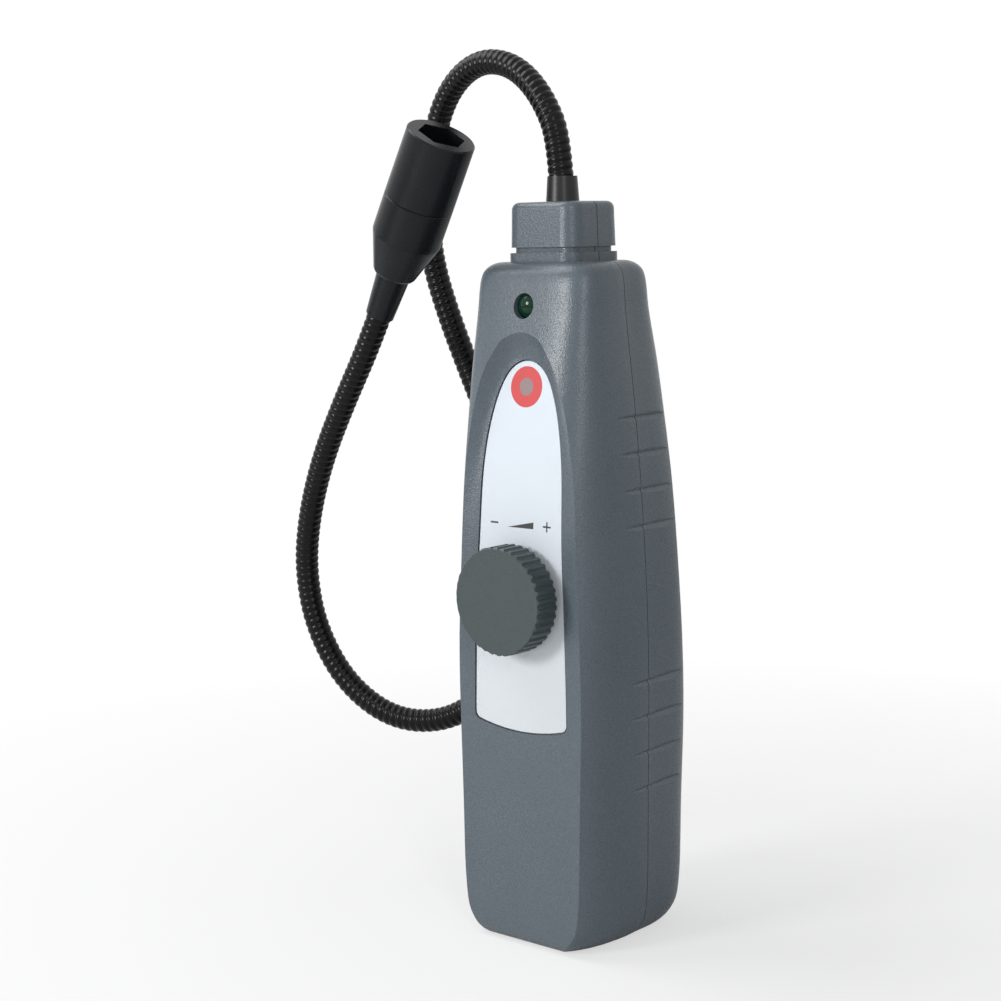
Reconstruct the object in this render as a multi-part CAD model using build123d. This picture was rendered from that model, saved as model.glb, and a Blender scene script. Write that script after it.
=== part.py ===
from build123d import *
import math
import os

# Handheld refrigerant gas leak detector with a gooseneck sensor probe.
# Millimetres. +Z up, front face towards -Y, origin at the centre of the flat base face.
# The two covers part along the plane Y = 0, which also holds the foot of the gooseneck.

# Housing, as seen from the front and from the side
BODY_TOP = 204.2
WALL = 2.0
SEAM_GAP = 0.3
BASE_RISE = 12.0
BASE_SIDE_INSET = 9.5
BASE_FRONT_INSET = 8.0
BASE_REAR_INSET = 7.5
BASE_EDGE = [(0.25, 3.1), (1.1, 1.6), (2.3, 0.6), (4.2, -0.1), (4.6, -1)]
SHOULDER_RADIUS = 4.8
RING_POINTS = 32
# height, half width, front depth, rear depth, squareness of front and of rear
BODY_STATIONS = [
    (0, 27.2, 34.3, 25.0, 2.6, 4.2),
    (35, 28.6, 34.3, 26.3, 2.6, 4.2),
    (62, 29.3, 33.8, 27.4, 2.6, 4.2),
    (90, 29.6, 32.6, 26.9, 2.7, 4.2),
    (115, 29.0, 30.4, 25.5, 2.8, 4.2),
    (140, 27.6, 28.0, 24.1, 3.0, 4.2),
    (163, 25.7, 23.9, 21.5, 3.6, 4.3),
    (180, 23.9, 21.1, 19.2, 4.2, 4.5),
    (193, 22.7, 18.7, 16.8, 4.8, 4.8),
    (BODY_TOP, 21.8, 17.0, 15.6, 4.8, 4.8),
]

# Neck block that clamps the gooseneck
NECK_TOP = 221.6
NECK_HALF_WIDTH = 13.1
NECK_HALF_DEPTH = 11.6
NECK_CORNER = 5.0
NECK_TAPER = 1.6
NECK_EDGE = 2.2
NECK_GROOVE_Z = (206.8, 208.4)
NECK_GROOVE_DEPTH = 1.3
NECK_ROOF = 2.8
POCKET_RADIUS = 8.3
CLAMP_WEB_Z = (210.4, 212.4)

# Dished front that carries the label
FLOOR_DEPTH = 24.05
FLOOR_BEND_Z = 84.85
FLOOR_BEND = 0.0008
FLOOR_LEAN = 0.021
RIM_RISE = [(0, 0.1), (66, 0.3), (84, 0.6), (113, 0.6), (136, 1.3), (152, 2.4), (167, 3.5), (176, 4.1)]
ARCH_FOOT_Z = 125.0
LABEL_HALF_WIDTH = [(0, 17.6), (75, 17.5), (104, 16.7), (ARCH_FOOT_Z, 15.6)]
LABEL_ARCH_RISE = 50.5
LABEL_ARCH_POWER = 2.3
RIM_HALF_WIDTH = [(0, 22.0), (31, 22.6), (66, 23.3), (85, 23.4), (102, 23.0), (ARCH_FOOT_Z, 22.1)]
RIM_ARCH_RISE = 59.4
RIM_ARCH_POWER = 2.05
LABEL_BOTTOM = 65.8
LABEL_CORNER_Z = 68.2
LABEL_CORNER_RADIUS = 2.2
LABEL_GAP = 0.45
LABEL_RECESS = 0.75
LABEL_THICKNESS = 0.5

# Finger grooves in the sides
GROOVE_HEIGHTS = [158.8, 148.2, 137.5, 126.8, 80.5, 69.9, 58.9, 48.1]
GROOVE_START = (-12.0, 0.15)
GROOVE_END = (17.0, 1.35)
GROOVE_SLOPE = 1.45
GROOVE_REACH = 2.6

# Sensitivity knob, its potentiometer and nut
KNOB_Z = 106.3
KNOB_RADIUS = 16.1
KNOB_FRONT = -33.95
KNOB_DEPTH = 8.4
KNOB_FLUTES = 38
KNOB_FLUTE_RADIUS = 1.0
KNOB_FLUTE_DEPTH = 0.55
KNOB_EDGE = 0.5
KNOB_WALL = 1.7
KNOB_HUB_RADIUS = 5.2
SHAFT_RADIUS = 3.0
SHAFT_FIT = 0.05
BUSH_RADIUS = 3.5
BUSH_LENGTH = 4.9
POT_RADIUS = 8.2
POT_DEPTH = 7.9
POT_SEAT_GAP = 0.4
NUT_FLATS = 10.0
NUT_THICKNESS = 1.9
NUT_HOLE_RADIUS = 6.4

# Lights
LED_RADIUS = 2.5
RING_Z = 168.0
POWER_LIGHT_Z = 191.6
LENS_RADIUS = 3.45
LENS_HOLE_RADIUS = 3.75
LENS_FLANGE = 1.4
SMALL_LED_RADIUS = 1.5

# Circuit board and what it carries
BOARD_FRONT = -12.6
BOARD_THICKNESS = 1.6
BOARD_Z = (76.0, 196.0)
BOARD_HALF_WIDTH = 16.0
BOARD_HEAD_Z = 163.0
BOARD_HEAD_HALF_WIDTH = 11.0
BOARD_CORNER = 1.5
POST_PLACES = [(-13.0, 82.0), (13.0, 82.0), (-13.0, 150.0), (13.0, 150.0)]
POST_RADIUS = 2.6
BOARD_SCREW_RADIUS = 0.9
BOARD_SCREW_LENGTH = 4.0
BUZZER_RADIUS = 6.0
BUZZER_DEPTH = 7.0
BUZZER_Z = 147.0
CHIP_SIZE = (19.0, 3.4, 6.4)
CHIP_Z = 122.0
CAPACITOR_RADIUS = 3.1
CAPACITOR_LENGTH = 9.5
CAPACITOR_PLACE = (6.0, 174.0)
PLUG_SIZE = (8.0, 5.6, 7.0)
PLUG_TOP = 191.0

# Screws that join the covers
CASE_SCREWS = [(-21.0, 104.0), (21.0, 104.0), (-15.8, 178.0), (15.8, 178.0)]
BOSS_RADIUS = 3.6
SCREW_RADIUS = 1.5
SCREW_HEAD_RADIUS = 2.8
SCREW_HEAD_DEPTH = 2.0
SCREW_SEAT_Y = 6.0
SCREW_TIP_Y = -9.5
SCREW_SLOT = 0.7
HOLE_CLEARANCE = 0.2

# Battery bay in the lower back
CELL_RADIUS = 7.1
CELL_LENGTH = 50.5
CELL_NUB = (2.7, 1.2)
CELL_PITCH = 14.7
CELL_COUNT = 3
BAY_PLATE_Y = (3.6, 5.0)
BAY_WALL = 1.4
BAY_BOTTOM = 13.6
CONTACT_THICKNESS = 0.4
SPRING_HEIGHT = 3.2
SPRING_WIRE = 0.35
SPRING_RADII = (4.2, 2.6)
SPRING_TURNS = 3
SPRING_SIDES = 14
COVER_HALF_WIDTH = 23.4
COVER_Z = (13.0, 88.0)
COVER_THICKNESS = 1.6
COVER_GAP = 0.3
COVER_CORNER = 3.0
COVER_RIB_Z = (30.0, 54.0)
LATCH_HALF_WIDTH = 6.5
GRIP_DEPTH = 0.6

# Gooseneck and the ferrule at its foot
NECK_TUBE_RADIUS = 3.85
TUBE_FOOT_Z = 212.0
FERRULE_TOP = 229.1
FERRULE_RADII = (4.95, 4.45)
FERRULE_FLANGE = (7.2, 2.6)
FERRULE_FOOT_Z = 206.0
THREAD_RADIUS = 5.0
FERRULE_NUT_FLATS = 13.0
FERRULE_NUT_HEIGHT = 3.2
LEAD_RADIUS = 1.1
RUN_SHARE = 0.45
# corners of the route, from the foot to the probe, chosen by hand
TUBE_ROUTE = [
    (0, 0, TUBE_FOOT_Z), (0, 0, 238), (-8.5, 1.5, 253.5), (-22, 4, 263.6), (-38, 6, 265.6),
    (-53, 8.5, 257.5), (-62.5, 11, 241.5), (-66.5, 12.5, 222), (-66.2, 13.5, 205), (-61, 15, 187),
    (-52, 16.5, 165.5), (-44.5, 18.5, 147), (-38.5, 20, 127), (-36.3, 20, 105), (-38.5, 17.5, 82),
    (-46.5, 13.5, 63), (-61, 8, 53.2), (-79, 2, 52.8), (-96, -2.5, 63.5), (-106, -6, 82),
    (-107.6, -8.5, 102), (-102.5, -10.8, 121), (-93, -12.8, 141), (-80, -14.6, 160.5),
]

# Probe head
PROBE_FOOT = (-61.2, -16.5, 188.2)
PROBE_AXIS = (0.504, -0.055, 0.862)
TUBE_INSERT = 9.0
SLEEVE_BORE = 3.88
SLEEVE_FOOT_RADIUS = 4.45
SLEEVE_TOP_RADIUS = 5.3
SLEEVE_SPIGOT_RADIUS = 4.4
SLEEVE_LENGTH = 21.6
HOLDER_FOOT = 14.6
HOLDER_FOOT_RADIUS = 6.8
CONE_TOP = 27.8
HOLDER_RADIUS = 10.8
CAP_FOOT = 40.4
CAP_TOP = 62.3
CAP_TOP_RADIUS = 10.65
SPIGOT_RADIUS = 9.0
SPIGOT_LENGTH = 5.0
CHAMBER_RADIUS = 7.6
LEDGE = 36.9
LEDGE_RADIUS = 6.3
MOUTH_FLATS = 13.0
MOUTH_DEPTH = 9.0
HEAD_EDGE = 0.25
FILTER_THICKNESS = 0.9
ELEMENT_BASE = (7.5, 1.2)
ELEMENT_CAN = (4.7, 7.5)
THREAD_GAP = 0.05

os.makedirs("parts", exist_ok=True)


def save(name, shape):
    export_step(shape, f"parts/{name}.step")


def rod(radius, x, z, y_from, y_to):
    """A round bar along Y."""
    middle = (y_from + y_to) / 2
    return Pos(x, middle, z) * Rot(90, 0, 0) * Cylinder(radius, abs(y_to - y_from))


def block(x, y, z):
    """A box given by its two limits on each axis."""
    size = [high - low for low, high in (x, y, z)]
    centre = [(high + low) / 2 for low, high in (x, y, z)]
    return Pos(*centre) * Box(*size)


def turned(points):
    """A solid turned about Z from a half section of (radius, height) points."""
    outline = Plane.XZ * make_face(Polyline(*points, close=True))
    return revolve(outline, Axis.Z)


def between(table, z):
    """Straight interpolation in a table of (z, value)."""
    if z <= table[0][0]:
        return table[0][1]
    for (low, first), (high, second) in zip(table, table[1:]):
        if z <= high:
            return first + (second - first) * (z - low) / (high - low)
    return table[-1][1]


def joined(shapes):
    """Several separate solids as one shape."""
    solids = []
    for shape in shapes:
        solids.extend(shape.solids())
    return Compound(children=solids)


# Housing form

def station(z):
    """Half width, front depth, rear depth and squareness at one height."""
    columns = zip(*BODY_STATIONS)
    heights = next(columns)
    return [between(list(zip(heights, column)), z) for column in columns]


def ring(z, side_inset, front_inset, rear_inset):
    """One closed cross-section of the housing, rounder in front than behind."""
    half_width, front, rear, front_power, rear_power = station(z)
    half_width -= side_inset
    points = []
    for step in range(RING_POINTS):
        angle = 2 * math.pi * step / RING_POINTS
        across, along = math.cos(angle), math.sin(angle)
        ahead = along < 0
        power = front_power if ahead else rear_power
        depth = front - front_inset if ahead else rear - rear_inset
        x = half_width * math.copysign(abs(across) ** (2 / power), across)
        y = depth * math.copysign(abs(along) ** (2 / power), along)
        points.append(Vector(x, y, z))
    return Wire([Edge.make_spline(points, periodic=True)])


def housing_form(inset):
    """The whole housing without its neck, drawn in by the same amount all round."""
    rings = []
    for step in range(6):
        angle = math.radians(90 - 18 * step)
        drawn = 1 - math.cos(angle)
        rings.append(ring(
            inset + (BASE_RISE - inset) * (1 - math.sin(angle)),
            inset + (BASE_SIDE_INSET - inset) * drawn,
            inset + (BASE_FRONT_INSET - inset) * drawn,
            inset + (BASE_REAR_INSET - inset) * drawn))
    for row in BODY_STATIONS[1:-1]:
        rings.append(ring(row[0], inset, inset, inset))
    radius = SHOULDER_RADIUS - 0.8 * inset
    for step in range(5):
        angle = math.radians(22.5 * step)
        drawn = inset + radius * (1 - math.cos(angle))
        height = BODY_TOP - inset - radius * (1 - math.sin(angle))
        rings.append(ring(height, drawn, drawn, drawn))
    return Solid.make_loft(rings)


def floor_y(z):
    """Front surface under the label, as seen from the side."""
    if z > FLOOR_BEND_Z:
        return -FLOOR_DEPTH + FLOOR_BEND * (z - FLOOR_BEND_Z) ** 2
    return -FLOOR_DEPTH - FLOOR_LEAN * (FLOOR_BEND_Z - z)


def arch_reach(x, z, half_width, rise, power):
    """How far out a point lies, as a share of the way from an arch's centre to its line."""
    return ((abs(x) / half_width) ** power + ((z - ARCH_FOOT_Z) / rise) ** power) ** (1 / power)


def dish_share(x, z):
    """0 at the label's edge and 1 at the rim of the dished front."""
    label, rim = between(LABEL_HALF_WIDTH, z), between(RIM_HALF_WIDTH, z)
    if z <= ARCH_FOOT_Z:
        return (abs(x) - label) / (rim - label)
    inner = arch_reach(x, z, label, LABEL_ARCH_RISE, LABEL_ARCH_POWER)
    outer = arch_reach(x, z, rim, RIM_ARCH_RISE, RIM_ARCH_POWER)
    return outer * (inner - 1) / (inner - outer)


def dish_cutter():
    """What is taken off the front: everything ahead of the dished surface."""
    grid = []
    for column in range(25):
        x = 2.5 * (column - 12)
        line = []
        for row in range(34):
            z = 6.0 * row - 4.0
            share = max(0.0, min(dish_share(x, z), 2.2))
            lift = share ** 2 * (1.6 - 0.6 * share) if share < 1 else 1 + 1.4 * (share - 1)
            line.append(Vector(x, floor_y(z) - between(RIM_RISE, z) * lift, z))
        grid.append(line)
    surface = Face.make_surface_from_array_of_points(grid)
    return Solid.extrude(surface, Vector(0, -40, 0))


def ahead_of_floor(depth):
    """Space ahead of the label's floor, moved back by a depth."""
    heights = [55, 70, 85, 105, 125, 145, 165, 185]
    curve = Spline(*[(floor_y(z) + depth, z) for z in heights])
    edge = Polyline(curve @ 1, (-45, heights[-1]), (-45, heights[0]), curve @ 0)
    profile = Plane.YZ * make_face([curve, edge])
    return extrude(profile, 25, both=True)


def label_prism(margin):
    """The label's arched outline, grown by a margin and run through the front."""
    foot_x, foot_z = between(LABEL_HALF_WIDTH, 75) + margin, LABEL_CORNER_Z - margin
    half = [(foot_x, foot_z)]
    half += [(between(LABEL_HALF_WIDTH, z) + margin, z) for z in (85, 105)]
    half_width, rise = between(LABEL_HALF_WIDTH, ARCH_FOOT_Z) + margin, LABEL_ARCH_RISE + margin
    for step in range(6):
        turn = math.pi / 2 * step / 5
        x = half_width * math.cos(turn) ** (2 / LABEL_ARCH_POWER)
        half.append((x if step < 5 else 0, ARCH_FOOT_Z + rise * math.sin(turn) ** (2 / LABEL_ARCH_POWER)))
    right = Spline(*half, tangents=[(0, 1), (-1, 0)])
    foot = ThreePointArc((foot_x, foot_z), (0, LABEL_BOTTOM - margin), (-foot_x, foot_z))
    outline = make_face([right, mirror(right, Plane.YZ), foot])
    corners = outline.vertices().sort_by(Axis.Y)[:2]
    outline = fillet(corners, LABEL_CORNER_RADIUS + margin)
    return extrude(Plane.XZ * outline, 45)


def side_groove(z, side):
    """A straight V groove on one side, which runs out at both ends as the housing rounds off."""
    half_width = station(z)[0]
    start = Vector(side * (half_width - GROOVE_START[1]), GROOVE_START[0], z)
    end = Vector(side * (half_width - GROOVE_END[1]), GROOVE_END[0], z)
    along = (end - start).normalized()
    plane = Plane(origin=start - 2 * along, x_dir=(0, 0, 1), z_dir=along)
    reach = math.copysign(GROOVE_REACH, plane.y_dir.X * side)
    spread = GROOVE_REACH * GROOVE_SLOPE
    section = plane * make_face(Polyline((0, 0), (spread, reach), (-spread, reach), close=True))
    return extrude(section, (end - start).length + 4)


def base_edge():
    """What is taken off along the lower front edge to round it, in four small flats."""
    corner_y = floor_y(0)
    profile = [(corner_y - 20, -1), (corner_y - 20, 4.6), (corner_y - 0.4, 4.6)]
    profile += [(corner_y + ahead, z) for ahead, z in BASE_EDGE]
    return extrude(Plane.YZ * make_face(Polyline(*profile, close=True)), 45, both=True)


def neck_plate(half_width, half_depth, corner, low, high):
    return Pos(0, 0, low) * extrude(RectangleRounded(2 * half_width, 2 * half_depth, corner), high - low)


def neck():
    """Block at the top with a groove round its foot."""
    low, high = NECK_GROOVE_Z
    collar = neck_plate(NECK_HALF_WIDTH + 0.3, NECK_HALF_DEPTH + 0.3, NECK_CORNER, BODY_TOP - 3, low)
    core = neck_plate(NECK_HALF_WIDTH - NECK_GROOVE_DEPTH, NECK_HALF_DEPTH - NECK_GROOVE_DEPTH,
                      NECK_CORNER - NECK_GROOVE_DEPTH, low, high)
    foot = RectangleRounded(2 * NECK_HALF_WIDTH, 2 * NECK_HALF_DEPTH, NECK_CORNER)
    cap = Pos(0, 0, high) * extrude(foot, NECK_TOP - high, taper=NECK_TAPER)
    cap = fillet(cap.faces().sort_by(Axis.Z)[-1].edges(), NECK_EDGE)
    return collar + core + cap


def neck_pocket():
    """Room in the neck for the ferrule's flange and nut, with a clamp web between them."""
    upper = Pos(0, 0, (CLAMP_WEB_Z[1] + NECK_TOP - NECK_ROOF) / 2) * Cylinder(
        POCKET_RADIUS, NECK_TOP - NECK_ROOF - CLAMP_WEB_Z[1])
    lower_from = BODY_TOP - WALL - 1
    lower = Pos(0, 0, (lower_from + CLAMP_WEB_Z[0]) / 2) * Cylinder(
        POCKET_RADIUS, CLAMP_WEB_Z[0] - lower_from)
    bore = Pos(0, 0, (lower_from + NECK_TOP + 1) / 2) * Cylinder(
        THREAD_RADIUS + 0.1, NECK_TOP + 1 - lower_from)
    return upper + lower + bore


dish = dish_cutter()
inner_form = housing_form(WALL) - dish.moved(Location((0, WALL + 0.2, 0)))
root_form = housing_form(WALL - 0.8) - dish.moved(Location((0, WALL - 0.6, 0)))
grooves = [side_groove(z, side) for z in GROOVE_HEIGHTS for side in (-1, 1)]
outer_form = housing_form(0) - dish - base_edge()
shell = outer_form - grooves + neck() - [inner_form, neck_pocket()]
seam_room = (housing_form(WALL / 2 - 0.1) - housing_form(WALL + 0.3)) & block((-40, 40), (-1.5, 0), (0, 202))
seam_lip = (housing_form(WALL / 2 + 0.1) - housing_form(WALL + 0.2)) & block((-40, 40), (-1.3, 0.6), (0, 202))
nut_seat_y = floor_y(KNOB_Z + NUT_HOLE_RADIUS) + LABEL_RECESS
pot_front = floor_y(KNOB_Z) + WALL + 0.2 + POT_SEAT_GAP
power_face_y = -station(POWER_LIGHT_Z)[1]
ring_floor_y = floor_y(RING_Z) + LABEL_RECESS
front_half = block((-60, 60), (-60, -SEAM_GAP / 2), (-5, 240))
rear_half = block((-60, 60), (SEAM_GAP / 2, 60), (-5, 240))


# Front cover: one moulded shell with the dished front, screw bosses and board posts

front_roots = [rod(BOSS_RADIUS, x, z, -30, -SEAM_GAP / 2) for x, z in CASE_SCREWS]
front_roots += [rod(POST_RADIUS, x, z, -30, BOARD_FRONT) for x, z in POST_PLACES]
front_cuts = [rod(SCREW_RADIUS + THREAD_GAP, x, z, SCREW_TIP_Y - 0.5, 1) for x, z in CASE_SCREWS]
for x, z in POST_PLACES:
    front_cuts.append(rod(BOARD_SCREW_RADIUS + THREAD_GAP, x, z, BOARD_FRONT - BOARD_SCREW_LENGTH, 1))
front_cuts.append(rod(NUT_HOLE_RADIUS, 0, KNOB_Z, -40, nut_seat_y))
front_cuts.append(rod(BUSH_RADIUS + 0.1, 0, KNOB_Z, -40, -10))
front_cuts.append(rod(LED_RADIUS + 0.4, 0, RING_Z, -40, -10))
front_cuts.append(rod(LENS_HOLE_RADIUS, 0, POWER_LIGHT_Z, -40, -10))
front_cover = shell & front_half
front_cover = front_cover - (label_prism(LABEL_GAP) & ahead_of_floor(LABEL_RECESS))
front_cover = front_cover + (joined(front_roots) & root_form).solids() - front_cuts - seam_room
save("front_cover", front_cover)


# Rear cover: one moulded shell with the battery bay, screw bosses and sound slots

def cover_outline(margin, y_from, y_to):
    """The battery cover's rounded outline as a block through the rear wall."""
    width = 2 * (COVER_HALF_WIDTH + margin)
    height = COVER_Z[1] - COVER_Z[0] + 2 * margin
    middle = (COVER_Z[0] + COVER_Z[1]) / 2
    face = Plane.XZ.offset(-y_to) * Pos(0, middle) * RectangleRounded(width, height, COVER_CORNER + margin)
    return extrude(face, y_to - y_from)


bay_top = BAY_BOTTOM + 2 * CONTACT_THICKNESS + SPRING_HEIGHT + CELL_LENGTH + 0.2
bay_half = (CELL_COUNT - 1) * CELL_PITCH / 2 + CELL_RADIUS + 0.3
cell_y = BAY_PLATE_Y[1] + CELL_RADIUS + 0.15
under_cover = housing_form(COVER_THICKNESS + 0.2)

bay = block((-40, 40), BAY_PLATE_Y, (0, bay_top + BAY_WALL))
for side in (-1, 1):
    wall_x = sorted((side * bay_half, side * (bay_half + BAY_WALL)))
    bay += block(wall_x, (BAY_PLATE_Y[0], 40), (BAY_BOTTOM - BAY_WALL, bay_top + BAY_WALL))
wide = (-bay_half - BAY_WALL, bay_half + BAY_WALL)
bay += block(wide, (BAY_PLATE_Y[0], cell_y + 4), (BAY_BOTTOM - BAY_WALL, BAY_BOTTOM))
bay += block(wide, (BAY_PLATE_Y[0], 40), (bay_top, bay_top + BAY_WALL))
rear_roots = [rod(BOSS_RADIUS, x, z, SEAM_GAP / 2, 40) for x, z in CASE_SCREWS]
rear_cuts = [rod(SCREW_RADIUS + HOLE_CLEARANCE, x, z, -1, 30) for x, z in CASE_SCREWS]
rear_cuts += [rod(SCREW_HEAD_RADIUS + HOLE_CLEARANCE, x, z, SCREW_SEAT_Y, 40) for x, z in CASE_SCREWS]
for step in (-1, 0, 1):
    rear_cuts.append(block((-5, 5), (8, 40), (BUZZER_Z + 4 * step - 0.8, BUZZER_Z + 4 * step + 0.8)))
rear_cover = shell & rear_half
rear_cover = rear_cover - cover_outline(COVER_GAP, 8, 40)
rear_cover = rear_cover + (bay & under_cover).solids()
rear_cover = rear_cover + (joined(rear_roots) & root_form).solids() - rear_cuts
rear_cover = rear_cover + seam_lip
save("rear_cover", rear_cover)


# Battery cover: a curved panel with two ribs, two foot tabs and a snap latch at its top

panel = (housing_form(0) - under_cover) & cover_outline(0, 8, 40)
panel_parts = []
for z in COVER_RIB_Z:
    rib = block((-19, 19), (cell_y + CELL_RADIUS + 0.4, 40), (z - 0.8, z + 0.8))
    panel_parts.append(rib & housing_form(COVER_THICKNESS - 0.5))
tab_back = station(COVER_Z[0])[2] - WALL - 1.0
for x in (-12, 12):
    panel_parts.append(block((x - 3, x + 3), (tab_back - 1.4, tab_back + 2.2), (COVER_Z[0], COVER_Z[0] + 1.6)))
    panel_parts.append(block((x - 3, x + 3), (tab_back - 1.4, tab_back), (COVER_Z[0] - 1.2, COVER_Z[0] + 1.6)))
panel_cuts = []
for side in (-1, 1):
    slit = sorted((side * LATCH_HALF_WIDTH, side * (LATCH_HALF_WIDTH + 0.8)))
    panel_cuts.append(block(slit, (8, 40), (COVER_Z[1] - 10, COVER_Z[1] + 1)))
for step in range(4):
    z = COVER_Z[1] - 3.0 - 2.2 * step
    grip_y = station(z)[2] - GRIP_DEPTH
    panel_cuts.append(block((-5, 5), (grip_y, 40), (z - 0.5, z + 0.5)))
battery_cover = panel + panel_parts - panel_cuts
save("battery_cover", battery_cover)


# Label: a thin printed plate that lies in the recess of the front

label_plate = label_prism(0) & (ahead_of_floor(LABEL_RECESS - 0.02)
                                - ahead_of_floor(LABEL_RECESS - 0.02 - LABEL_THICKNESS))
label_plate -= rod(NUT_HOLE_RADIUS, 0, KNOB_Z, -40, -10)
save("label_plate", label_plate)


# Sensitivity knob, hollow behind, with a fluted edge and a hub on the shaft

knob_back = KNOB_FRONT + KNOB_DEPTH
knob = rod(KNOB_RADIUS, 0, KNOB_Z, KNOB_FRONT, knob_back)
knob = chamfer(knob.edges().group_by(Axis.Y)[0], KNOB_EDGE)
flutes = []
for step in range(KNOB_FLUTES):
    angle = 2 * math.pi * step / KNOB_FLUTES
    reach = KNOB_RADIUS + KNOB_FLUTE_RADIUS - KNOB_FLUTE_DEPTH
    flutes.append(rod(KNOB_FLUTE_RADIUS, reach * math.cos(angle), KNOB_Z + reach * math.sin(angle),
                      KNOB_FRONT - 1, knob_back + 1))
knob -= joined(flutes)
hollow = rod(KNOB_RADIUS - KNOB_WALL - 0.6, 0, KNOB_Z, KNOB_FRONT + KNOB_WALL, knob_back + 1)
hub_end = pot_front - BUSH_LENGTH - 0.6
knob -= hollow
knob += rod(KNOB_HUB_RADIUS, 0, KNOB_Z, KNOB_FRONT + 0.5, hub_end)
knob -= rod(SHAFT_RADIUS + 0.02, 0, KNOB_Z, KNOB_FRONT + KNOB_WALL, hub_end + 1)
save("knob", knob)

shaft_front = KNOB_FRONT + KNOB_WALL + 0.2
shaft_back = pot_front + 4.0
knob_shaft = rod(SHAFT_RADIUS, 0, KNOB_Z, shaft_front, shaft_back)
save("knob_shaft", knob_shaft)


# Potentiometer: round can, threaded bush through the front wall, three pins to the board

pot_back = pot_front + POT_DEPTH
pot = rod(POT_RADIUS, 0, KNOB_Z, pot_front, pot_back)
pot += rod(BUSH_RADIUS, 0, KNOB_Z, pot_front - BUSH_LENGTH, pot_front)
pot -= rod(SHAFT_RADIUS + SHAFT_FIT, 0, KNOB_Z, -40, shaft_back + 0.3)
for x in (-5, 0, 5):
    pot += rod(0.6, x, KNOB_Z, pot_back, BOARD_FRONT)
save("sensitivity_pot", pot)

nut = Plane.XZ.offset(-nut_seat_y + 0.02) * Pos(0, KNOB_Z) * RegularPolygon(NUT_FLATS / 2, 6, major_radius=False)
pot_nut = extrude(nut, NUT_THICKNESS)
pot_nut -= rod(BUSH_RADIUS + THREAD_GAP, 0, KNOB_Z, -40, -10)
save("pot_nut", pot_nut)


# Lights: a green lens over the power light, and the leak light behind the label's window

def dome(radius, x, z, y_back, y_front):
    """A round post with a domed front end."""
    post = rod(radius, x, z, y_back, y_front - 1)
    ball = Pos(x, y_front + radius, z) * Sphere(radius)
    barrel = rod(radius, x, z, y_back, y_front + radius)
    return (post & ball) + barrel if y_back > y_front + radius else post & ball


lens_flange_front = -station(POWER_LIGHT_Z + LENS_RADIUS + LENS_FLANGE)[1] + WALL + 0.3
lens_back = lens_flange_front + 1.0
lens = rod(LENS_RADIUS, 0, POWER_LIGHT_Z, lens_back, power_face_y + 1.6)
cap_ball_radius = 5.2
cap_ball = Pos(0, power_face_y + 0.4 + cap_ball_radius, POWER_LIGHT_Z) * Sphere(cap_ball_radius)
lens += cap_ball & rod(LENS_RADIUS, 0, POWER_LIGHT_Z, power_face_y, lens_back)
lens += rod(LENS_RADIUS + LENS_FLANGE, 0, POWER_LIGHT_Z, lens_flange_front, lens_back)
save("power_lens", lens)

power_led = dome(SMALL_LED_RADIUS, 0, POWER_LIGHT_Z, BOARD_FRONT, lens_back + 0.3)
save("power_led", power_led)

leak_led = dome(LED_RADIUS, 0, RING_Z, BOARD_FRONT, ring_floor_y + 0.5)
leak_led += rod(LED_RADIUS + 0.35, 0, RING_Z, BOARD_FRONT - 1.0, BOARD_FRONT)
save("leak_led", leak_led)


# Circuit board with the buzzer, chip, capacitor and the probe's plug

board_back = BOARD_FRONT + BOARD_THICKNESS
board_low = block((-BOARD_HALF_WIDTH, BOARD_HALF_WIDTH), (BOARD_FRONT, board_back), (BOARD_Z[0], BOARD_HEAD_Z))
board_high = block((-BOARD_HEAD_HALF_WIDTH, BOARD_HEAD_HALF_WIDTH), (BOARD_FRONT, board_back),
                   (BOARD_HEAD_Z - 1, BOARD_Z[1]))
board = board_low + board_high
board = fillet(board.edges().filter_by(Axis.Y), BOARD_CORNER)
for x, z in POST_PLACES:
    board -= rod(BOARD_SCREW_RADIUS + HOLE_CLEARANCE, x, z, -20, 0)
save("circuit_board", board)

board_screws = []
for x, z in POST_PLACES:
    screw = rod(BOARD_SCREW_RADIUS, x, z, BOARD_FRONT - BOARD_SCREW_LENGTH + 0.3, board_back)
    screw += rod(2 * BOARD_SCREW_RADIUS, x, z, board_back, board_back + 1.2)
    board_screws.append(screw)
save("board_screws", joined(board_screws))

buzzer = rod(BUZZER_RADIUS, 0, BUZZER_Z, board_back, board_back + BUZZER_DEPTH)
buzzer -= rod(1.2, 0, BUZZER_Z, board_back + BUZZER_DEPTH - 2, board_back + BUZZER_DEPTH + 1)
save("buzzer", buzzer)

chip = Pos(0, board_back + CHIP_SIZE[1] / 2, CHIP_Z) * Box(*CHIP_SIZE)
save("control_chip", chip)

capacitor = rod(CAPACITOR_RADIUS, *CAPACITOR_PLACE, board_back, board_back + CAPACITOR_LENGTH)
save("smoothing_capacitor", capacitor)

plug_y = (board_back, board_back + PLUG_SIZE[1])
plug = block((-PLUG_SIZE[0] / 2, PLUG_SIZE[0] / 2), plug_y, (PLUG_TOP - PLUG_SIZE[2], PLUG_TOP))
save("lead_plug", plug)


# Screws that join the covers, driven from behind

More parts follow.
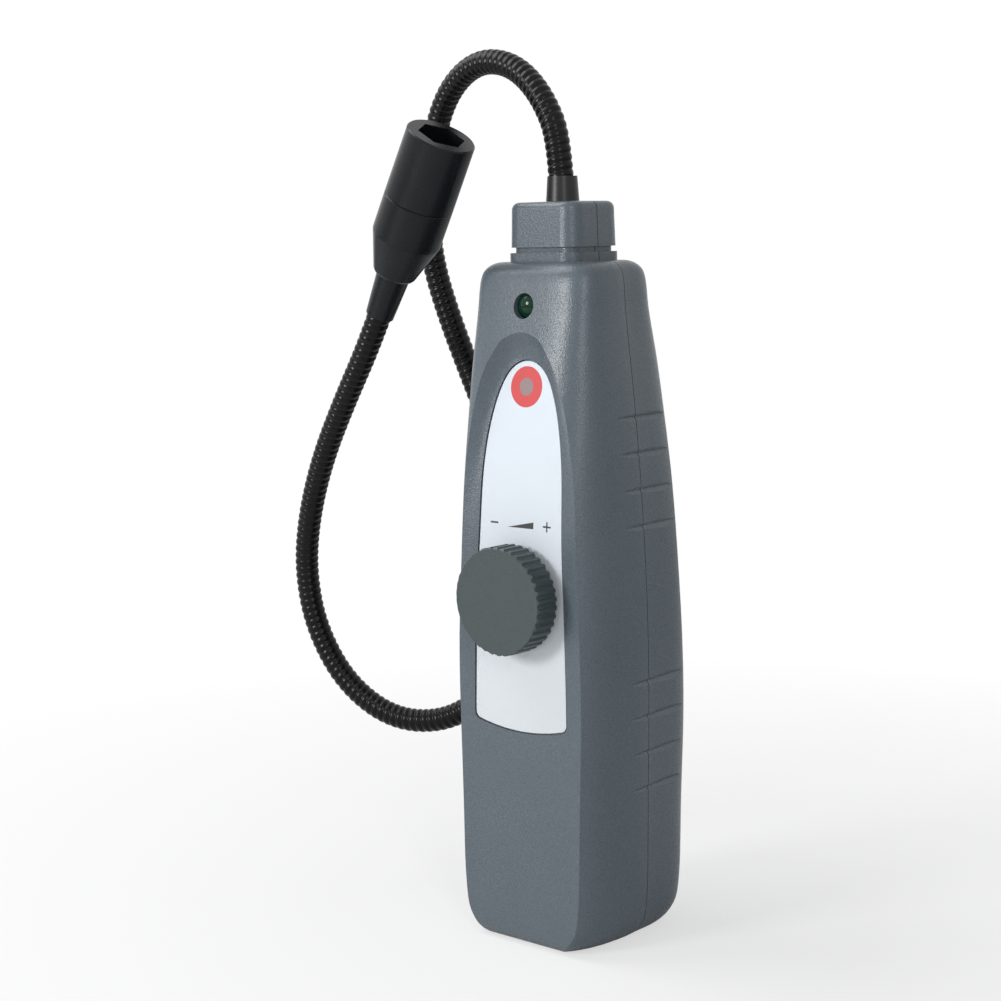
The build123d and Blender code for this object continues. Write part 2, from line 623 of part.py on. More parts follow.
case_screws = []
for x, z in CASE_SCREWS:
    screw = rod(SCREW_RADIUS, x, z, SCREW_TIP_Y, SCREW_SEAT_Y + 0.2)
    head = rod(SCREW_HEAD_RADIUS, x, z, SCREW_SEAT_Y, SCREW_SEAT_Y + SCREW_HEAD_DEPTH)
    for turn in (0, 90):
        slot = Box(2 * SCREW_HEAD_RADIUS - 1.6, 2, SCREW_SLOT)
        head -= Pos(x, SCREW_SEAT_Y + SCREW_HEAD_DEPTH, z) * Rot(0, turn, 0) * slot
    case_screws.append(screw + head)
save("case_screws", joined(case_screws))


# Cells, springs and contacts in the battery bay

cell_low = BAY_BOTTOM + CONTACT_THICKNESS
springs, contacts = [], []
for number in range(CELL_COUNT):
    x = (number - (CELL_COUNT - 1) / 2) * CELL_PITCH
    nub_up = number % 2 == 0
    low = cell_low + (SPRING_HEIGHT if nub_up else 0.1)
    body_height = CELL_LENGTH - CELL_NUB[1]
    body_low = low if nub_up else low + CELL_NUB[1]
    cell = Pos(x, cell_y, body_low + body_height / 2) * Cylinder(CELL_RADIUS, body_height)
    nub_middle = body_low + body_height + CELL_NUB[1] / 2 if nub_up else low + CELL_NUB[1] / 2
    cell += Pos(x, cell_y, nub_middle) * Cylinder(CELL_NUB[0], CELL_NUB[1])
    save(f"battery_{number + 1}", cell)
    spring_low = cell_low if nub_up else low + CELL_LENGTH
    coil = []
    for turn in range(SPRING_TURNS * SPRING_SIDES + 1):
        angle = 2 * math.pi * turn / SPRING_SIDES
        share = turn / (SPRING_TURNS * SPRING_SIDES)
        reach = SPRING_RADII[0] + (SPRING_RADII[1] - SPRING_RADII[0]) * share
        rise = SPRING_WIRE + (SPRING_HEIGHT - 2 * SPRING_WIRE) * share
        height = spring_low + (rise if nub_up else SPRING_HEIGHT - rise)
        coil.append((x + reach * math.cos(angle), cell_y + reach * math.sin(angle), height))
    path = Polyline(*coil)
    start = Plane(origin=path @ 0, x_dir=(0, 0, 1), z_dir=path % 0)
    springs.append(sweep(start * RegularPolygon(SPRING_WIRE, 6), path=path, transition=Transition.RIGHT))
    for low_z in (BAY_BOTTOM, bay_top - CONTACT_THICKNESS):
        contacts.append(block((x - 5, x + 5), (cell_y - 5, cell_y + 3.5), (low_z, low_z + CONTACT_THICKNESS)))
save("battery_springs", joined(springs))
save("battery_contacts", joined(contacts))


# Ferrule at the foot of the gooseneck, held by the neck, and its nut

flange_top = NECK_TOP - NECK_ROOF - 0.15
flange_low = flange_top - FERRULE_FLANGE[1]
bore = NECK_TUBE_RADIUS + 0.03
ferrule = turned([
    (LEAD_RADIUS + 0.3, FERRULE_FOOT_Z), (THREAD_RADIUS, FERRULE_FOOT_Z), (THREAD_RADIUS, flange_low),
    (FERRULE_FLANGE[0], flange_low), (FERRULE_FLANGE[0], flange_top), (THREAD_RADIUS, flange_top),
    (THREAD_RADIUS, NECK_TOP), (FERRULE_RADII[0], NECK_TOP + 0.2), (FERRULE_RADII[1], FERRULE_TOP),
    (bore, FERRULE_TOP), (bore, TUBE_FOOT_Z), (LEAD_RADIUS + 0.3, TUBE_FOOT_Z)])
save("base_ferrule", ferrule)

nut_top = CLAMP_WEB_Z[0] - 0.05
ferrule_nut = Pos(0, 0, nut_top - FERRULE_NUT_HEIGHT) * extrude(
    RegularPolygon(FERRULE_NUT_FLATS / 2, 6, major_radius=False), FERRULE_NUT_HEIGHT)
ferrule_nut -= Pos(0, 0, nut_top) * Cylinder(THREAD_RADIUS + THREAD_GAP, 3 * FERRULE_NUT_HEIGHT)
save("ferrule_nut", ferrule_nut)


# Gooseneck: a wound tube bent into one loop, and the lead that leaves its foot

def bent_tube(points, radius):
    """A tube of straight runs joined by arcs, each arc as large as its runs allow."""
    corners = [Vector(*point) for point in points]
    radii = []
    for before, corner, after in zip(corners, corners[1:], corners[2:]):
        arriving, leaving = corner - before, after - corner
        half_turn = math.radians(arriving.get_angle(leaving)) / 2
        radii.append(RUN_SHARE * min(arriving.length, leaving.length) / math.tan(half_turn))
    path = FilletPolyline(*corners, radius=radii)
    print("bend radii", [round(value) for value in radii], "length", round(path.length))
    start = Plane(origin=path @ 0, z_dir=path % 0)
    tube = sweep(start * Circle(radius), path=path)
    print("tube volume", round(tube.volume), "of", round(math.pi * radius ** 2 * path.length))
    return tube


probe_axis = Vector(*PROBE_AXIS).normalized()
probe_foot = Vector(*PROBE_FOOT)
tube_end = probe_foot + probe_axis * TUBE_INSERT
tube_lead_in = probe_foot - probe_axis * TUBE_INSERT
route = list(TUBE_ROUTE) + [tuple(tube_lead_in), tuple(tube_end)]
save("gooseneck", bent_tube(route, NECK_TUBE_RADIUS))

plug_mid_y = board_back + PLUG_SIZE[1] / 2
lead_route = [(0, 0, TUBE_FOOT_Z), (0, 0, 202.5), (0, plug_mid_y, 197), (0, plug_mid_y, PLUG_TOP)]
save("sensor_lead", bent_tube(lead_route, LEAD_RADIUS))


# Probe head, turned parts on one leaning axis

probe = Plane(origin=probe_foot, z_dir=probe_axis).location

sleeve = turned([
    (SLEEVE_BORE, 0), (SLEEVE_FOOT_RADIUS - HEAD_EDGE, 0), (SLEEVE_FOOT_RADIUS, HEAD_EDGE),
    (SLEEVE_TOP_RADIUS, HOLDER_FOOT - 0.03), (SLEEVE_SPIGOT_RADIUS, HOLDER_FOOT - 0.03),
    (SLEEVE_SPIGOT_RADIUS, SLEEVE_LENGTH), (SLEEVE_BORE, SLEEVE_LENGTH)])
save("sensor_sleeve", probe * sleeve)

socket = SLEEVE_SPIGOT_RADIUS + 0.03
foot_radius = HOLDER_FOOT_RADIUS
holder = turned([
    (socket, HOLDER_FOOT), (foot_radius - 1.3, HOLDER_FOOT), (foot_radius - 0.5, HOLDER_FOOT + 0.3),
    (foot_radius, HOLDER_FOOT + 1.0), (foot_radius + 0.3, HOLDER_FOOT + 1.9),
    (HOLDER_RADIUS - 0.3, CONE_TOP - 0.8), (HOLDER_RADIUS - 0.06, CONE_TOP), (HOLDER_RADIUS, CONE_TOP + 0.8),
    (HOLDER_RADIUS, CAP_FOOT - HEAD_EDGE), (HOLDER_RADIUS - HEAD_EDGE, CAP_FOOT),
    (SPIGOT_RADIUS, CAP_FOOT), (SPIGOT_RADIUS, CAP_FOOT + SPIGOT_LENGTH),
    (CHAMBER_RADIUS, CAP_FOOT + SPIGOT_LENGTH), (CHAMBER_RADIUS, LEDGE), (LEDGE_RADIUS, LEDGE),
    (LEDGE_RADIUS, SLEEVE_LENGTH + 4), (3.2, SLEEVE_LENGTH + 2), (3.2, SLEEVE_LENGTH + 0.2),
    (socket, SLEEVE_LENGTH + 0.2)])
save("sensor_holder", probe * holder)

shoulder = CAP_TOP - MOUTH_DEPTH
cap = turned([
    (0, CAP_FOOT + 0.05), (HOLDER_RADIUS - HEAD_EDGE, CAP_FOOT + 0.05),
    (HOLDER_RADIUS, CAP_FOOT + 0.05 + HEAD_EDGE), (CAP_TOP_RADIUS, CAP_TOP - 0.4),
    (CAP_TOP_RADIUS - 0.4, CAP_TOP), (0, CAP_TOP)])
cap -= Pos(0, 0, (CAP_FOOT + shoulder) / 2) * Cylinder(SPIGOT_RADIUS + THREAD_GAP, shoulder - CAP_FOOT)
cap -= Pos(0, 0, shoulder - 1) * extrude(RegularPolygon(MOUTH_FLATS / 2, 6, major_radius=False), MOUTH_DEPTH + 2)
save("sensor_cap", probe * cap)

filter_disc = Pos(0, 0, shoulder - 0.05 - FILTER_THICKNESS / 2) * Cylinder(SPIGOT_RADIUS, FILTER_THICKNESS)
save("sensor_filter", probe * filter_disc)

element = Pos(0, 0, LEDGE + 0.05 + ELEMENT_BASE[1] / 2) * Cylinder(*ELEMENT_BASE)
can_low = LEDGE + 0.05 + ELEMENT_BASE[1]
can = Pos(0, 0, can_low + ELEMENT_CAN[1] / 2) * Cylinder(*ELEMENT_CAN)
element += fillet(can.edges().sort_by(Axis.Z)[-1], 0.8)
for turn in range(4):
    angle = math.radians(45 + 90 * turn)
    element += Pos(3 * math.cos(angle), 3 * math.sin(angle), LEDGE - 2.5) * Cylinder(0.4, 5.2)
save("sensor_element", probe * element)
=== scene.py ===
import math

import bmesh
import bpy
from mathutils import Matrix, Vector


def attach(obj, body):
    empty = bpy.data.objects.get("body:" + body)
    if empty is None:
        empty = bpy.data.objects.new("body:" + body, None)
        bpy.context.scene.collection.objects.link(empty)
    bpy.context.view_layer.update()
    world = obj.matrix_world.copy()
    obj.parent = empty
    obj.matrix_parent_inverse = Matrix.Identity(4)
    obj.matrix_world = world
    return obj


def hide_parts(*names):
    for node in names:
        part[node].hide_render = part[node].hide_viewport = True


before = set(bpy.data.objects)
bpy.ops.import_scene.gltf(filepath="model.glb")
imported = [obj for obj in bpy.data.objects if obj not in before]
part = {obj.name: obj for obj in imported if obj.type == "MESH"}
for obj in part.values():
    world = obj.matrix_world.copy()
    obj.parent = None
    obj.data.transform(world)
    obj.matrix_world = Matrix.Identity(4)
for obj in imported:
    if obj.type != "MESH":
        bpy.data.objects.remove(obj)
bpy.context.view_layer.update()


# The view. The camera stands at the front right and looks slightly down on the instrument, which
# is upright on a pale table. Large soft lamps are at the front left and above, a weak one is right.
PICTURE_WIDTH = 1001
FOCAL_LENGTH = 1991.26
FILM_WIDTH = 36
CAMERA_PLACE = (0.37809, -0.46162, 0.21240)
CAMERA_TURN = 0.7205
CAMERA_TILT = 0.1328
CAMERA_ROLL = 0.0225


def look_from(turn, tilt, roll):
    """Camera axes: how far to the right of the front, how far above, and the lean of the picture."""
    back = Vector((math.sin(turn) * math.cos(tilt), -math.cos(turn) * math.cos(tilt), math.sin(tilt)))
    level = Vector((math.cos(turn), math.sin(turn), 0))
    rise = back.cross(level)
    right = level * math.cos(roll) - rise * math.sin(roll)
    up = level * math.sin(roll) + rise * math.cos(roll)
    return Matrix((right, up, back)).transposed()


camera = bpy.data.objects.new("camera", bpy.data.cameras.new("camera"))
camera.data.sensor_width = FILM_WIDTH
camera.data.lens = FILM_WIDTH * FOCAL_LENGTH / PICTURE_WIDTH
camera.data.clip_start = 0.01
camera_axes = look_from(CAMERA_TURN, CAMERA_TILT, CAMERA_ROLL)
camera.matrix_world = Matrix.Translation(CAMERA_PLACE) @ camera_axes.to_4x4()
bpy.context.scene.collection.objects.link(camera)
bpy.context.scene.camera = camera
bpy.context.scene.view_settings.view_transform = "Standard"


def soft_lamp(name, place, aim, width, height, watts):
    """A rectangular lamp turned to the point it is aimed at."""
    lamp = bpy.data.objects.new(name, bpy.data.lights.new(name, "AREA"))
    lamp.data.shape = "RECTANGLE"
    lamp.data.size = width
    lamp.data.size_y = height
    lamp.data.energy = watts
    lamp.location = place
    lamp.rotation_euler = (Vector(aim) - Vector(place)).to_track_quat("-Z", "Y").to_euler()
    bpy.context.scene.collection.objects.link(lamp)


soft_lamp("lamp_front_left", (-0.32, -0.9, 0.41), (0, 0, 0.19), 0.27, 0.26, 5.1)
soft_lamp("lamp_right", (0.74, -0.6, 0.5), (0, 0, 0.18), 0.2, 0.45, 1.9)
soft_lamp("lamp_above", (-0.5, -0.2, 0.82), (-0.02, 0, 0.12), 0.5, 0.5, 3.3)


# The studio and the table. Even pale light comes from all round, and the camera, glossy surfaces and
# clear ones see it as plain white. The table fades to white away from the instrument.
STUDIO_STRENGTH = 0.32
TABLE_RADIUS = 3.0
TABLE_GLOW_NEAR = 0.6
SHADOW_REACH = 0.24
SHADOW_BLUR = 0.3


class Tone:
    """A value on its way through a material. Sums written with it add Math nodes."""

    def __init__(self, tree, socket=None):
        self.tree = tree
        self.socket = socket

    def node(self, kind, settings=None, values=None, out=0):
        """Any shader node: its settings, then the values or links of its sockets."""
        made = self.tree.nodes.new("ShaderNode" + kind)
        for name, setting in (settings or {}).items():
            if name == "stops":
                while len(made.color_ramp.elements) < len(setting):
                    made.color_ramp.elements.new(1)
                for element, (place, shade) in zip(made.color_ramp.elements, setting):
                    element.position = place
                    element.color = (shade, shade, shade, 1)
            else:
                setattr(made, name, setting)
        for name, value in (values or {}).items():
            if isinstance(value, Tone):
                self.tree.links.new(value.socket, made.inputs[name])
            else:
                made.inputs[name].default_value = value
        return Tone(self.tree, made.outputs[out])

    def sum(self, operation, first, second=0.0):
        return self.node("Math", {"operation": operation}, {0: first, 1: second})

    def __add__(self, other):
        return self.sum("ADD", self, other)

    def __radd__(self, other):
        return self.sum("ADD", other, self)

    def __sub__(self, other):
        return self.sum("SUBTRACT", self, other)

    def __rsub__(self, other):
        return self.sum("SUBTRACT", other, self)

    def __mul__(self, other):
        return self.sum("MULTIPLY", self, other)

    def __rmul__(self, other):
        return self.sum("MULTIPLY", other, self)

    def __pow__(self, other):
        return self.sum("POWER", self, other)

    def __abs__(self):
        return self.sum("ABSOLUTE", self)

    def either(self, other):
        """The larger of two values, so 1 where either mask is 1."""
        return self.sum("MAXIMUM", self, other)

    def below(self, limit, blur):
        """1 where the value is under the limit, 0 over it, with a soft edge."""
        return self.node("MapRange", {"clamp": True}, {
            "Value": self, "From Min": limit + blur / 2, "From Max": limit - blur / 2})

    def between(self, dark, pale):
        """A colour that goes from the first at 0 to the second at 1."""
        return self.node("Mix", {"data_type": "RGBA"}, {0: self, 6: (*dark, 1), 7: (*pale, 1)}, out=2)

    def under(self, mask, paint):
        """This colour with another over it where the mask is 1."""
        return self.node("Mix", {"data_type": "RGBA"}, {0: mask, 6: self, 7: (*paint, 1)}, out=2)


world = bpy.data.worlds.new("studio")
world.use_nodes = True
bpy.context.scene.world = world
sky = Tone(world.node_tree)
camera_sees, gloss_sees, glass_sees = [
    sky.node("LightPath", out=name) for name in ("Is Camera Ray", "Is Glossy Ray", "Is Transmission Ray")]
seen = camera_sees.either(gloss_sees).either(glass_sees)
lit = sky.node("Background", values={"Color": (0.96, 0.98, 1, 1), "Strength": STUDIO_STRENGTH})
white = sky.node("Background", values={"Color": (1, 1, 1, 1), "Strength": 1.0})
studio = sky.node("MixShader", values={0: seen, 1: lit, 2: white})
world.node_tree.links.new(studio.socket, world.node_tree.nodes["World Output"].inputs["Surface"])

bpy.ops.mesh.primitive_circle_add(vertices=96, radius=TABLE_RADIUS, fill_type="NGON", location=(0, 0, 0))
table = bpy.context.object
table.name = "table"
table_top = bpy.data.materials.new("table_top")
table_top.use_nodes = True
top = Tone(table_top.node_tree)
paint = table_top.node_tree.nodes["Principled BSDF"]
paint.inputs["Base Color"].default_value = (0.9, 0.9, 0.9, 1)
paint.inputs["Roughness"].default_value = 0.9
paint.inputs["Specular IOR Level"].default_value = 0.1
spot = top.node("TexCoord", out="Object")
reach = top.node("VectorMath", {"operation": "LENGTH"}, {0: spot}, out="Value")
far = 1 - reach.below(SHADOW_REACH, SHADOW_BLUR)
glow = top.node("Emission", values={"Color": (1, 1, 1, 1), "Strength": 1.0})
glow_share = (TABLE_GLOW_NEAR + (1 - TABLE_GLOW_NEAR) * far) * top.node("LightPath", out="Is Camera Ray")
surface = top.node("MixShader", values={0: glow_share, 1: Tone(top.tree, paint.outputs[0]), 2: glow})
top.tree.links.new(surface.socket, top.tree.nodes["Material Output"].inputs["Surface"])
table.data.materials.append(table_top)


# Circuit board: green solder mask over glass cloth, with tracks that show as slightly raised lines.
# It stands on four posts of the front cover and is held by four plated screws. The other screws, the
# knob's shaft and the potentiometer with its nut are plated in the same way.
CLOTH_BANDS = 260.0


def new_finish(name, **plain):
    """A new material with its even values set: the material, its shader, and the place on the piece."""
    material = bpy.data.materials.new(name)
    material.use_nodes = True
    shader = material.node_tree.nodes["Principled BSDF"]
    for socket, value in plain.items():
        shader.inputs[socket.replace("_", " ")].default_value = value
    return material, shader, Tone(material.node_tree).node("TexCoord", out="Object")


def feed(shader, **sockets):
    """Links values that change over the surface to the shader."""
    for socket, tone in sockets.items():
        tone.tree.links.new(tone.socket, shader.inputs[socket.replace("_", " ")])


def coat(material, *names):
    """Gives the CAD nodes of these names the material."""
    for name in names:
        for slot in part[name].material_slots:
            slot.material = material


def grain(place, size, detail=2.0):
    """Even random grain, about 0.5 on average, with blotches of one size in metres."""
    return place.node("TexNoise", values={"Vector": place, "Scale": 1 / size, "Detail": detail}, out="Fac")


def relief(height, depth, strength=1.0):
    """Bump of a depth in metres from a height between 0 and 1."""
    return height.node("Bump", values={"Height": height, "Distance": depth, "Strength": strength})


material, shader, place = new_finish("board_mask", Roughness=0.35, Coat_Weight=0.3, Coat_Roughness=0.15)
cloth = place.node("TexWave", {"wave_type": "BANDS", "bands_direction": "X"}, {
    "Vector": place, "Scale": CLOTH_BANDS, "Distortion": 9.0, "Detail": 1.0, "Detail Scale": 40.0}, out="Fac")
track = cloth.node("ValToRGB", {"stops": [(0.55, 0), (0.62, 1)]}, {0: cloth})
mask_green = track.between((0.008, 0.075, 0.028), (0.02, 0.14, 0.05))
feed(shader, Base_Color=mask_green, Normal=relief(track, 0.00004))
coat(material, "circuit_board")

material, shader, place = new_finish("plated_steel", Metallic=1.0)
scuff = grain(place, 0.0004, 4.0)
steel = scuff.between((0.46, 0.46, 0.45), (0.66, 0.66, 0.65))
feed(shader, Base_Color=steel, Roughness=0.2 + 0.25 * scuff)
coat(material, "board_screws", "case_screws", "knob_shaft", "sensitivity_pot", "pot_nut")


# Parts on the board: moulded black packages, a sleeved capacitor and a nylon plug on its back, and
# two lights on its front. All are soldered to it.
material, shader, place = new_finish("package_black", Roughness=0.55)
speck = grain(place, 0.0003)
moulding = speck.between((0.009, 0.009, 0.01), (0.03, 0.03, 0.032))
feed(shader, Base_Color=moulding, Normal=relief(speck, 0.00003))
coat(material, "buzzer", "control_chip")

material, shader, place = new_finish("capacitor_sleeve", Roughness=0.3, Coat_Weight=0.4)
feed(shader, Base_Color=grain(place, 0.002).between((0.03, 0.05, 0.12), (0.05, 0.08, 0.17)))
coat(material, "smoothing_capacitor")

material, shader, place = new_finish("nylon_white", Roughness=0.5, Subsurface_Weight=0.1)
shade = grain(place, 0.001)
nylon = shade.between((0.66, 0.63, 0.54), (0.76, 0.73, 0.64))
feed(shader, Base_Color=nylon, Normal=relief(shade, 0.00003))
coat(material, "lead_plug")

material, shader, place = new_finish("resin_red", Roughness=0.12, Coat_Weight=0.5)
feed(shader, Base_Color=grain(place, 0.0015).between((0.30, 0.016, 0.012), (0.42, 0.03, 0.02)))
coat(material, "leak_led", "power_led")


# Housing: two covers and a battery cover, injection moulded in slate grey plastic. The mould was
# spark eroded, so the skin has a fine even grain that turns the gloss into a soft satin sheen.
SPARK_SIZE = 0.00045
SPARK_DEPTH = 0.00012
CLOUD_SIZE = 0.02

material, shader, place = new_finish("housing_plastic", Specular_IOR_Level=0.42)
sparks = grain(place, SPARK_SIZE)
slate = grain(place, CLOUD_SIZE).between((0.078, 0.099, 0.116), (0.091, 0.115, 0.134))
dots = sparks.node("ValToRGB", {"stops": [(0.35, 0), (0.7, 1)]}, {0: sparks})
slate = slate.under(dots * 0.35, (0.145, 0.175, 0.2))
feed(shader, Base_Color=slate, Roughness=0.24 + 0.08 * sparks, Normal=relief(sparks, SPARK_DEPTH, 0.8))
coat(material, "front_cover", "rear_cover", "battery_cover")


# Cells, springs and contacts behind the battery cover. The jackets are plain shrink film with one
# pale band, the springs and plates are nickel plated wire and strip.
BAND_MIDDLE = 0.0425
BAND_HALF_HEIGHT = 0.014
BAND_EDGE = 0.0006

material, shader, place = new_finish("cell_jacket", Roughness=0.28, Coat_Weight=0.3)
height = place.node("SeparateXYZ", values={0: place}, out="Z")
band = abs(height - BAND_MIDDLE).below(BAND_HALF_HEIGHT, BAND_EDGE)
jacket = band.between((0.025, 0.026, 0.03), (0.16, 0.17, 0.19))
feed(shader, Base_Color=jacket, Normal=relief(grain(place, 0.004), 0.00006))
coat(material, "battery_1", "battery_2", "battery_3")

material, shader, place = new_finish("nickel", Metallic=1.0, Base_Color=(0.62, 0.6, 0.56, 1))
feed(shader, Roughness=0.16 + 0.25 * grain(place, 0.0008, 3.0))
coat(material, "battery_springs", "battery_contacts")


# Label: a printed polyester film in the recess of the front. The red ring and its grey window
# stand for the leak light, and the wedge between minus and plus marks the way the knob turns.
# Height and blur of the painted shade that darkens the lower part of the film.
PAINTED_SHADE_MIDDLE = 0.12
PAINTED_SHADE_BLUR = 0.1
RING_HEIGHT = 0.168
RING_RADIUS = 0.006
RING_EDGE = 0.00015
WINDOW_RADIUS = 0.0026
WINDOW_EDGE = 0.00025
WEDGE_FOOT = 0.1267
WEDGE_HALF_LENGTH = 0.005
WEDGE_SLOPE = 0.2
WEDGE_EDGE = 0.00012
SIGN_HEIGHT = 0.1277
SIGN_REACH = 0.0101
SIGN_HALF_LENGTH = 0.0015
STROKE_HALF_WIDTH = 0.00026
STROKE_EDGE = 0.0001

material, shader, place = new_finish(
    "label_film", Roughness=0.34, Specular_IOR_Level=0.3, Coat_Weight=0.1, Coat_Roughness=0.2)
across, height = [place.node("SeparateXYZ", values={0: place}, out=axis) for axis in "XZ"]
# Painted shade: the film is painted darker and greyer on its lower part, as the light falls more on its upper
# part.
painted_shade_mask = height.below(PAINTED_SHADE_MIDDLE, PAINTED_SHADE_BLUR)
film = painted_shade_mask.between((0.655, 0.715, 0.78), (0.62, 0.65, 0.675))
ring_reach = (across * across + (height - RING_HEIGHT) ** 2.0) ** 0.5
film = film.under(ring_reach.below(RING_RADIUS, RING_EDGE), (0.60, 0.073, 0.075))
film = film.under(ring_reach.below(WINDOW_RADIUS, WINDOW_EDGE), (0.28, 0.208, 0.21))
wedge_rise = (across + WEDGE_HALF_LENGTH) * WEDGE_SLOPE
wedge = (height - WEDGE_FOOT - wedge_rise).below(0, WEDGE_EDGE)
wedge = wedge * (WEDGE_FOOT - height).below(0, WEDGE_EDGE)
wedge = wedge * abs(across).below(WEDGE_HALF_LENGTH, WEDGE_EDGE)
sign_rise = abs(height - SIGN_HEIGHT)
level_stroke = sign_rise.below(STROKE_HALF_WIDTH, STROKE_EDGE)
level_stroke = level_stroke * abs(abs(across) - SIGN_REACH).below(SIGN_HALF_LENGTH, STROKE_EDGE)
upright_stroke = abs(across - SIGN_REACH).below(STROKE_HALF_WIDTH, STROKE_EDGE)
upright_stroke = upright_stroke * sign_rise.below(SIGN_HALF_LENGTH, STROKE_EDGE)
film = film.under(wedge.either(level_stroke).either(upright_stroke), (0.045, 0.047, 0.05))
feed(shader, Base_Color=film, Normal=relief(grain(place, 0.0006), 0.00001))
coat(material, "label_plate")


# Power light: a green lens that sits a little below the skin of the front, seated on its flange
# behind the wall. It is dark, as the light behind it is off.
material, shader, place = new_finish("lens_green", Roughness=0.06, Specular_IOR_Level=0.25)
feed(shader, Base_Color=grain(place, 0.003).between((0.002, 0.022, 0.010), (0.004, 0.036, 0.016)))
coat(material, "power_lens")


# Sensitivity knob: moulded in a slightly darker grey than the housing, with a matt grain, and
# flutes all round for the thumb.
material, shader, place = new_finish("knob_plastic", Specular_IOR_Level=0.4)
sparks = grain(place, 0.0005, 3.0)
knob_grey = sparks.between((0.032, 0.046, 0.049), (0.064, 0.083, 0.087))
feed(shader, Base_Color=knob_grey, Roughness=0.3 + 0.12 * sparks, Normal=relief(sparks, 0.0001))
coat(material, "knob")


# Foot of the gooseneck: a turned black ferrule in the neck of the housing, with a brass nut under
# it. Inside the neck a sheathed lead runs down to the plug.
material, shader, place = new_finish("black_oxide", Specular_IOR_Level=0.3)
turning = grain(place, 0.0006, 3.0)
ferrule_black = turning.between((0.010, 0.010, 0.011), (0.020, 0.020, 0.021))
feed(shader, Base_Color=ferrule_black, Roughness=0.28 + 0.14 * turning)
coat(material, "base_ferrule")

material, shader, place = new_finish("turned_brass", Metallic=1.0, Base_Color=(0.72, 0.53, 0.25, 1))
feed(shader, Roughness=0.22 + 0.2 * grain(place, 0.0007, 3.0))
coat(material, "ferrule_nut")

material, shader, place = new_finish("lead_sheath", Roughness=0.5)
feed(shader, Base_Color=grain(place, 0.001).between((0.012, 0.012, 0.012), (0.02, 0.02, 0.02)))
coat(material, "sensor_lead")


# Gooseneck: a steel spiral wound of round and wedge wire in a shrunk black sleeve, so the windings
# show as fine ribs. It keeps the loop it was bent to. Its route, in millimetres, has the corners of
# the CAD route and ends inside the sleeve of the probe head.
NECK_ROUTE = [
    (0, 0, 212), (0, 0, 238), (-8.5, 1.5, 253.5), (-22, 4, 263.6), (-38, 6, 265.6),
    (-53, 8.5, 257.5), (-62.5, 11, 241.5), (-66.5, 12.5, 222), (-66.2, 13.5, 205), (-61, 15, 187),
    (-52, 16.5, 165.5), (-44.5, 18.5, 147), (-38.5, 20, 127), (-36.3, 20, 105), (-38.5, 17.5, 82),
    (-46.5, 13.5, 63), (-61, 8, 53.2), (-79, 2, 52.8), (-96, -2.5, 63.5), (-106, -6, 82),
    (-107.6, -8.5, 102), (-102.5, -10.8, 121), (-93, -12.8, 141), (-80, -14.6, 160.5)]
PROBE_FOOT = Vector((-61.2, -16.5, 188.2))
PROBE_AXIS = Vector((0.504, -0.055, 0.862)).normalized()
TUBE_INSERT = 9
NECK_ROUTE += [tuple(PROBE_FOOT - TUBE_INSERT * PROBE_AXIS), tuple(PROBE_FOOT + TUBE_INSERT * PROBE_AXIS)]
RIB_PITCH = 2.35
RIB_RADIUS = 3.85
RIB_DEPTH = 0.42
RIB_ROUNDNESS = 0.75
ROUND_STEPS = 24
STEPS_A_RIB = 7
MILLIMETRES_A_METRE = 1000


def smooth_line(name, corners):
    """Points of a smooth curve that follows the corners, read from a NURBS spline."""
    curve = bpy.data.curves.new(name, "CURVE")
    curve.dimensions = "3D"
    spline = curve.splines.new("NURBS")
    spline.points.add(len(corners) - 1)
    for point, corner in zip(spline.points, corners):
        point.co = (*corner, 1)
    spline.order_u = 3
    spline.use_endpoint_u = True
    spline.resolution_u = 32
    holder = bpy.data.objects.new(name, curve)
    bpy.context.scene.collection.objects.link(holder)
    bpy.context.view_layer.update()
    line = bpy.data.meshes.new_from_object(holder.evaluated_get(bpy.context.evaluated_depsgraph_get()))
    points = [vertex.co.copy() for vertex in line.vertices]
    bpy.data.objects.remove(holder)
    bpy.data.meshes.remove(line)
    return points


def evenly(points, step):
    """The same line with points an even step apart."""
    spaced, left = [points[0]], step
    for start, end in zip(points, points[1:]):
        run = (end - start).length
        while run > 0 and left <= run:
            start = start.lerp(end, left / run)
            spaced.append(start.copy())
            run -= left
            left = step
        left -= run
    return spaced


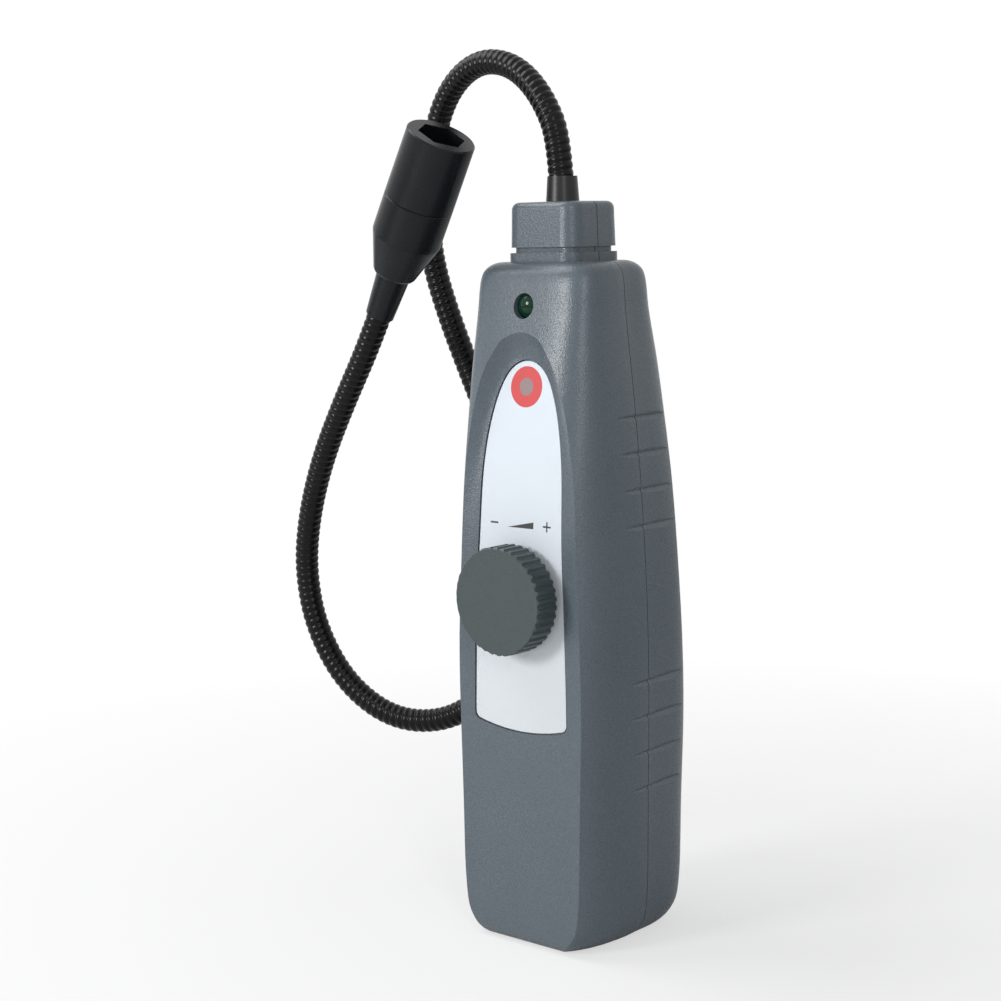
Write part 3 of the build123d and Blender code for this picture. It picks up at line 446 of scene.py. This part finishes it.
line = evenly(smooth_line("gooseneck_line", NECK_ROUTE), RIB_PITCH / STEPS_A_RIB)
mesh = bmesh.new()
side = Vector((1, 0, 0))
rows = []
for number, spot in enumerate(line):
    ahead = (line[min(number + 1, len(line) - 1)] - line[max(number - 1, 0)]).normalized()
    side = (side - ahead * side.dot(ahead)).normalized()
    across = ahead.cross(side)
    row = []
    for step in range(ROUND_STEPS):
        turn = 2 * math.pi * step / ROUND_STEPS
        wind = math.pi * (number / STEPS_A_RIB - step / ROUND_STEPS)
        radius = RIB_RADIUS - RIB_DEPTH * (1 - abs(math.sin(wind)) ** RIB_ROUNDNESS)
        point = spot + radius * (math.cos(turn) * side + math.sin(turn) * across)
        row.append(mesh.verts.new(point / MILLIMETRES_A_METRE))
    rows.append(row)
for near, away in zip(rows, rows[1:]):
    for step in range(ROUND_STEPS):
        following = (step + 1) % ROUND_STEPS
        mesh.faces.new((near[step], near[following], away[following], away[step])).smooth = True
mesh.faces.new(rows[0][::-1])
mesh.faces.new(rows[-1])
skin = bpy.data.meshes.new("gooseneck_windings")
mesh.normal_update()
mesh.to_mesh(skin)
mesh.free()
windings = bpy.data.objects.new("gooseneck_windings", skin)
bpy.context.scene.collection.objects.link(windings)

material, shader, place = new_finish("gooseneck_sleeve", Specular_IOR_Level=0.16)
wrinkle = grain(place, 0.0011, 3.0)
sleeve_black = wrinkle.between((0.002, 0.002, 0.002), (0.007, 0.007, 0.007))
feed(shader, Base_Color=sleeve_black, Roughness=0.16 + 0.16 * wrinkle, Normal=relief(wrinkle, 0.00004))
skin.materials.append(material)
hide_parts("gooseneck")
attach(windings, "case")


# Probe head: a crimped sleeve, a turned holder with a cone at its foot, and a cap screwed on it,
# all finished satin black. The cap's hexagonal mouth lets the gas through a dark porous disc to the
# sensor, a pressed steel can.
material, shader, place = new_finish("head_black", Specular_IOR_Level=0.2)
turning = grain(place, 0.0005, 4.0)
head_black = grain(place, 0.012).between((0.005, 0.0058, 0.007), (0.010, 0.0112, 0.0132))
feed(shader, Base_Color=head_black, Roughness=0.21 + 0.1 * turning, Normal=relief(turning, 0.00003))
coat(material, "sensor_sleeve", "sensor_holder", "sensor_cap")

material, shader, place = new_finish("porous_disc", Roughness=0.9)
pores = place.node("TexVoronoi", values={"Vector": place, "Scale": 2600.0}, out="Distance")
disc_brown = pores.between((0.010, 0.004, 0.004), (0.045, 0.018, 0.015))
feed(shader, Base_Color=disc_brown, Normal=relief(pores, 0.0002))
coat(material, "sensor_filter")

material, shader, place = new_finish("pressed_can", Metallic=1.0, Base_Color=(0.5, 0.5, 0.49, 1))
feed(shader, Roughness=0.25 + 0.2 * grain(place, 0.0006, 3.0))
coat(material, "sensor_element")
